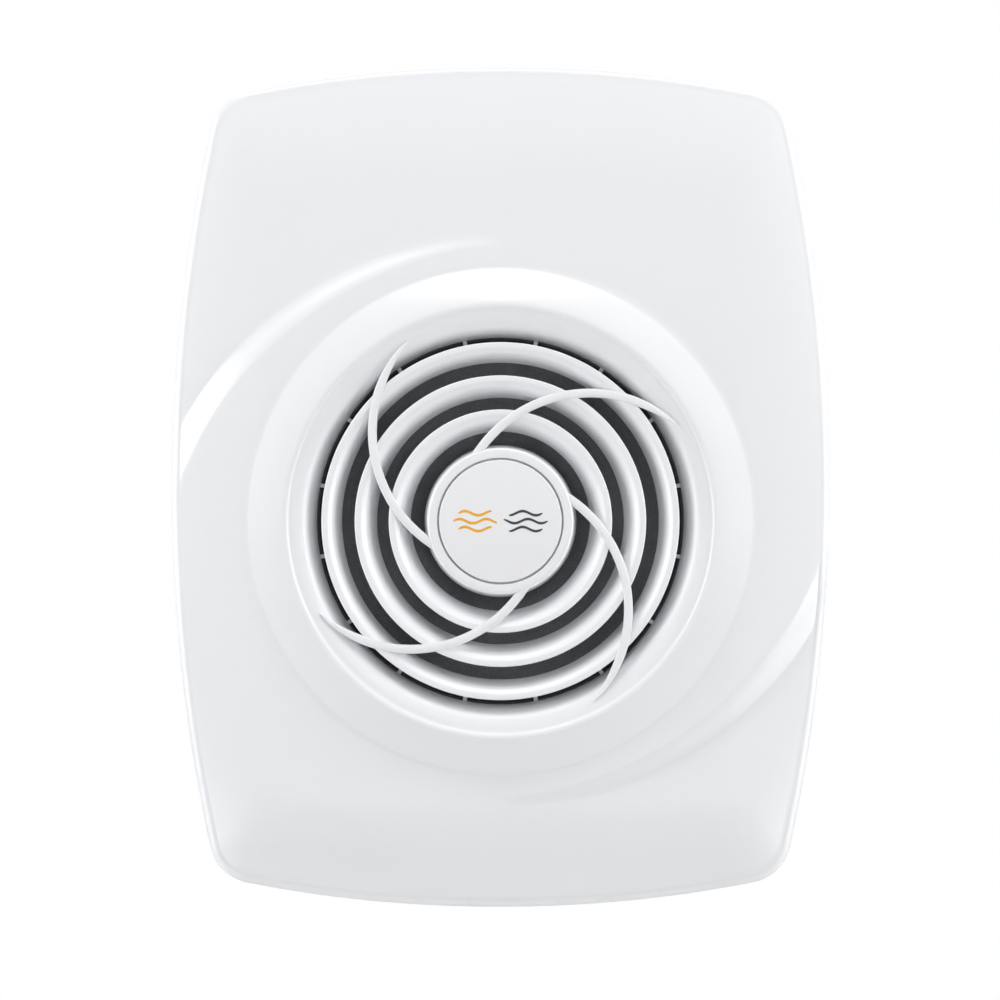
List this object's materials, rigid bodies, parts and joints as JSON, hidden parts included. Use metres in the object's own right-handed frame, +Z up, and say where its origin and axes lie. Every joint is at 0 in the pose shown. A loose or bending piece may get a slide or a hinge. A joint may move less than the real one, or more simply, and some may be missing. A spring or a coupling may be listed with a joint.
{
  "type": "heat recovery unit",
  "caption": "Through-wall heat recovery unit with a white barrel-shaped room cover, a round ring grille with swirling spokes, duct-mounted exchanger, fans and outdoor cowl.",
  "frame": {"origin": "on the duct's axis in the plane of the room side of the wall, which the wall plate's back lies on", "axes": "+Y along the duct from the room to the outdoors, +Z up, +X to the right seen from the room"},
  "size_m": [0.25, 0.3915, 0.32],
  "materials": {
    "cover_white": "glossy moulded ABS",
    "badge_silver": "satin silver print",
    "matt_white": "satin moulded plastic",
    "rubber": "closed-cell rubber",
    "duct_plastic": "extruded pipe",
    "dark_plastic": "satin glass-filled plastic",
    "charcoal_foam": "open filter pad",
    "grey_foam": "open filter pad",
    "steel": "zinc-plated",
    "core_plastic": "thin formed sheets",
    "epp_foam": "bead foam",
    "board_green": "solder mask",
    "terminal_grey": "moulded",
    "blue_plastic": "moulded",
    "black_plastic": "smooth"
  },
  "bodies": {
    "root": {"wall_plate": "matt_white", "duct_collar": "matt_white", "wall_seal": "rubber", "wall_duct": "duct_plastic", "air_guide": "matt_white", "fan_housing": "dark_plastic", "inlet_ring": "dark_plastic", "filter_frame": "dark_plastic", "extract_filter": "charcoal_foam", "extract_motor": "steel", "exchanger_core": "core_plastic", "core_cradle_top": "epp_foam", "core_cradle_bottom": "epp_foam", "front_divider": "epp_foam", "rear_divider": "epp_foam", "rear_bulkhead": "matt_white", "supply_fan_frame": "dark_plastic", "intake_filter": "grey_foam", "drip_tray": "matt_white", "flap_pin": "steel", "outer_cowl": "matt_white", "insect_mesh": "steel", "cowl_gasket": "rubber", "control_tray": "matt_white", "control_pcb": "board_green", "terminal_block": "terminal_grey", "power_module": "black_plastic", "storage_capacitor": "blue_plastic", "humidity_sensor": "matt_white", "trim_base": "blue_plastic", "control_lid": "matt_white", "cable_clamp": "dark_plastic", "fan_lead": "black_plastic", "wall_screw_1": "steel", "wall_screw_2": "steel", "wall_screw_3": "steel", "wall_screw_4": "steel", "cowl_screw_1": "steel", "cowl_screw_2": "steel", "cowl_screw_3": "steel", "cowl_screw_4": "steel", "housing_screw_1": "steel", "housing_screw_2": "steel", "housing_screw_3": "steel", "housing_screw_4": "steel", "lid_screw_1": "steel", "lid_screw_2": "steel", "clamp_screw_1": "steel", "clamp_screw_2": "steel"},
    "cover": {"front_cover": "cover_white", "swirl_grille": "cover_white", "badge_disc": "badge_silver"},
    "extract_rotor": {"extract_rotor_cap": "dark_plastic", "extract_impeller": "dark_plastic"},
    "supply_rotor": {"supply_impeller": "dark_plastic"},
    "flap": {"exhaust_flap": "matt_white"},
    "trimmer": {"trim_dial": "matt_white"}
  },
  "joints": [
    {"name": "cover_pull", "type": "slide", "parent": "root", "child": "cover", "axis": [0, -1, 0], "range_m": [0, 0.08]},
    {"name": "extract_spin", "type": "hinge", "parent": "root", "child": "extract_rotor", "pos_m": [0, -0.025, 0], "axis": [0, 1, 0], "continuous": true},
    {"name": "supply_spin", "type": "hinge", "parent": "root", "child": "supply_rotor", "pos_m": [0, 0.272, 0.0345], "axis": [0, 1, 0], "continuous": true},
    {"name": "flap_swing", "type": "hinge", "parent": "root", "child": "flap", "pos_m": [0, 0.246, -0.005], "axis": [1, 0, 0], "range_deg": [0, 50]},
    {"name": "trim_turn", "type": "hinge", "parent": "root", "child": "trimmer", "pos_m": [0.01, -0.0155, 0.097], "axis": [0, 1, 0], "range_deg": [-135, 135]}
  ]
}
